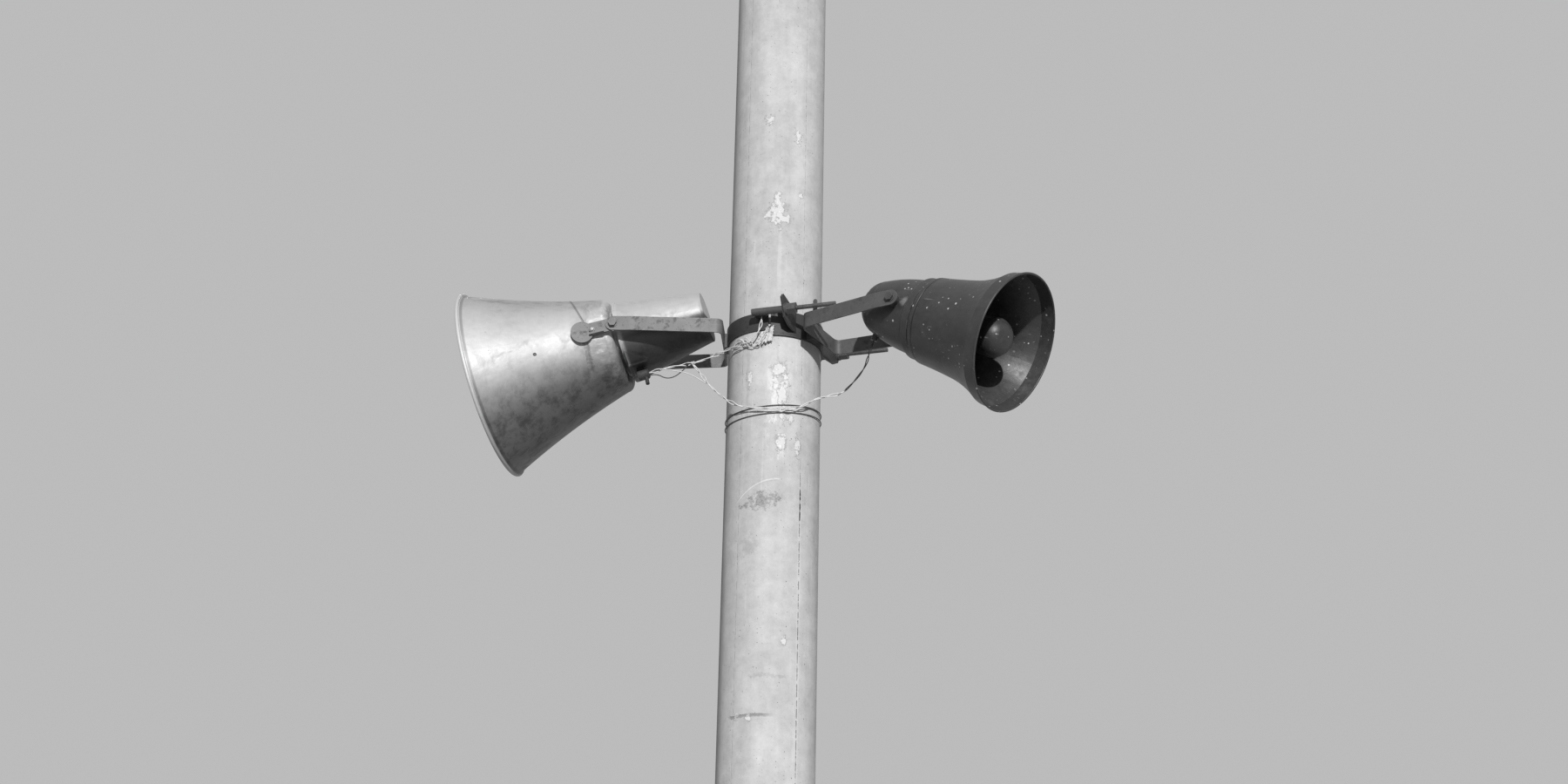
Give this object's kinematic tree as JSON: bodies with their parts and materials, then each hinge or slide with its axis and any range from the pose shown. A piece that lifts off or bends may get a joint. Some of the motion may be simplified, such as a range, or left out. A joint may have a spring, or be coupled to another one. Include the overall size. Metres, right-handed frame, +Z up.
{
  "type": "loudspeaker pole",
  "caption": "Round concrete pole with a strap clamp and U-shaped yokes that carry a large and a small reflex horn loudspeaker, each tilting on its pivot bolts, with their speaker wires.",
  "frame": {"origin": "centre of the pole's foot, at ground level", "axes": "+Z up the pole, +Y away from the viewer of the picture, +X to the right, towards the small horn"},
  "size_m": [1.385, 0.7652, 6.04],
  "materials": {
    "concrete": "weathered grey spun concrete",
    "cap_mortar": "trowelled mortar",
    "zinc_steel": "dull zinc",
    "painted_strap": "worn grey paint",
    "galvanised_bar": "weathered galvanised",
    "grey_bar": "worn grey paint",
    "magnet": "bare ferrite and iron",
    "aluminium_horn": "silver painted spun sheet",
    "wire_sleeve": "faded plastic sleeve",
    "tie_wire": "dull iron wire",
    "gland": "weathered dark plastic",
    "grey_horn": "dark grey paint, weathered, over spun aluminium"
  },
  "bodies": {
    "pole": {"clamp_bolt_front": "zinc_steel", "clamp_bolt_rear": "zinc_steel", "clamp_nut_front": "zinc_steel", "clamp_nut_rear": "zinc_steel", "clamp_saddle": "painted_strap", "clamp_strap": "painted_strap", "cross_loose_strand": "wire_sleeve", "cross_speaker_wire": "wire_sleeve", "left_loose_strand": "wire_sleeve", "left_pivot_bolt_far": "zinc_steel", "left_pivot_bolt_near": "zinc_steel", "left_speaker_wire": "wire_sleeve", "left_yoke": "galvanised_bar", "pole_cap": "cap_mortar", "pole_shaft": "concrete", "right_pivot_bolt_far": "zinc_steel", "right_pivot_bolt_near": "zinc_steel", "right_yoke": "grey_bar", "tie_wire_lower": "tie_wire", "tie_wire_upper": "tie_wire"},
    "left_horn": {"left_back_plate": "aluminium_horn", "left_bell": "aluminium_horn", "left_cable_gland": "gland", "left_driver_case": "aluminium_horn", "left_driver_unit": "magnet", "left_pivot_boss_far": "aluminium_horn", "left_pivot_boss_near": "aluminium_horn", "left_rear_cap": "aluminium_horn", "left_reflector": "aluminium_horn", "left_terminal_cover": "aluminium_horn", "left_throat_tube": "aluminium_horn"},
    "right_horn": {"right_back_plate": "grey_horn", "right_bell": "grey_horn", "right_cable_outlet": "gland", "right_driver_case": "grey_horn", "right_driver_unit": "magnet", "right_pivot_boss_far": "grey_horn", "right_pivot_boss_near": "grey_horn", "right_rear_cap": "grey_horn", "right_reflector": "grey_horn", "right_throat_tube": "grey_horn"}
  },
  "joints": [
    {"name": "left_horn_tilt", "type": "hinge", "parent": "pole", "child": "left_horn", "pos_m": [-0.37066, 0.01598, 3.89312], "axis": [-0.047, -0.9973, -0.0558], "range_deg": [-34, 26], "deforming": ["left_speaker_wire", "left_loose_strand", "cross_loose_strand"]},
    {"name": "right_horn_tilt", "type": "hinge", "parent": "pole", "child": "right_horn", "pos_m": [0.30925, -0.19085, 3.8845], "axis": [0.4848, 0.8746, 0], "range_deg": [-44, 26], "deforming": ["cross_speaker_wire"]}
  ]
}
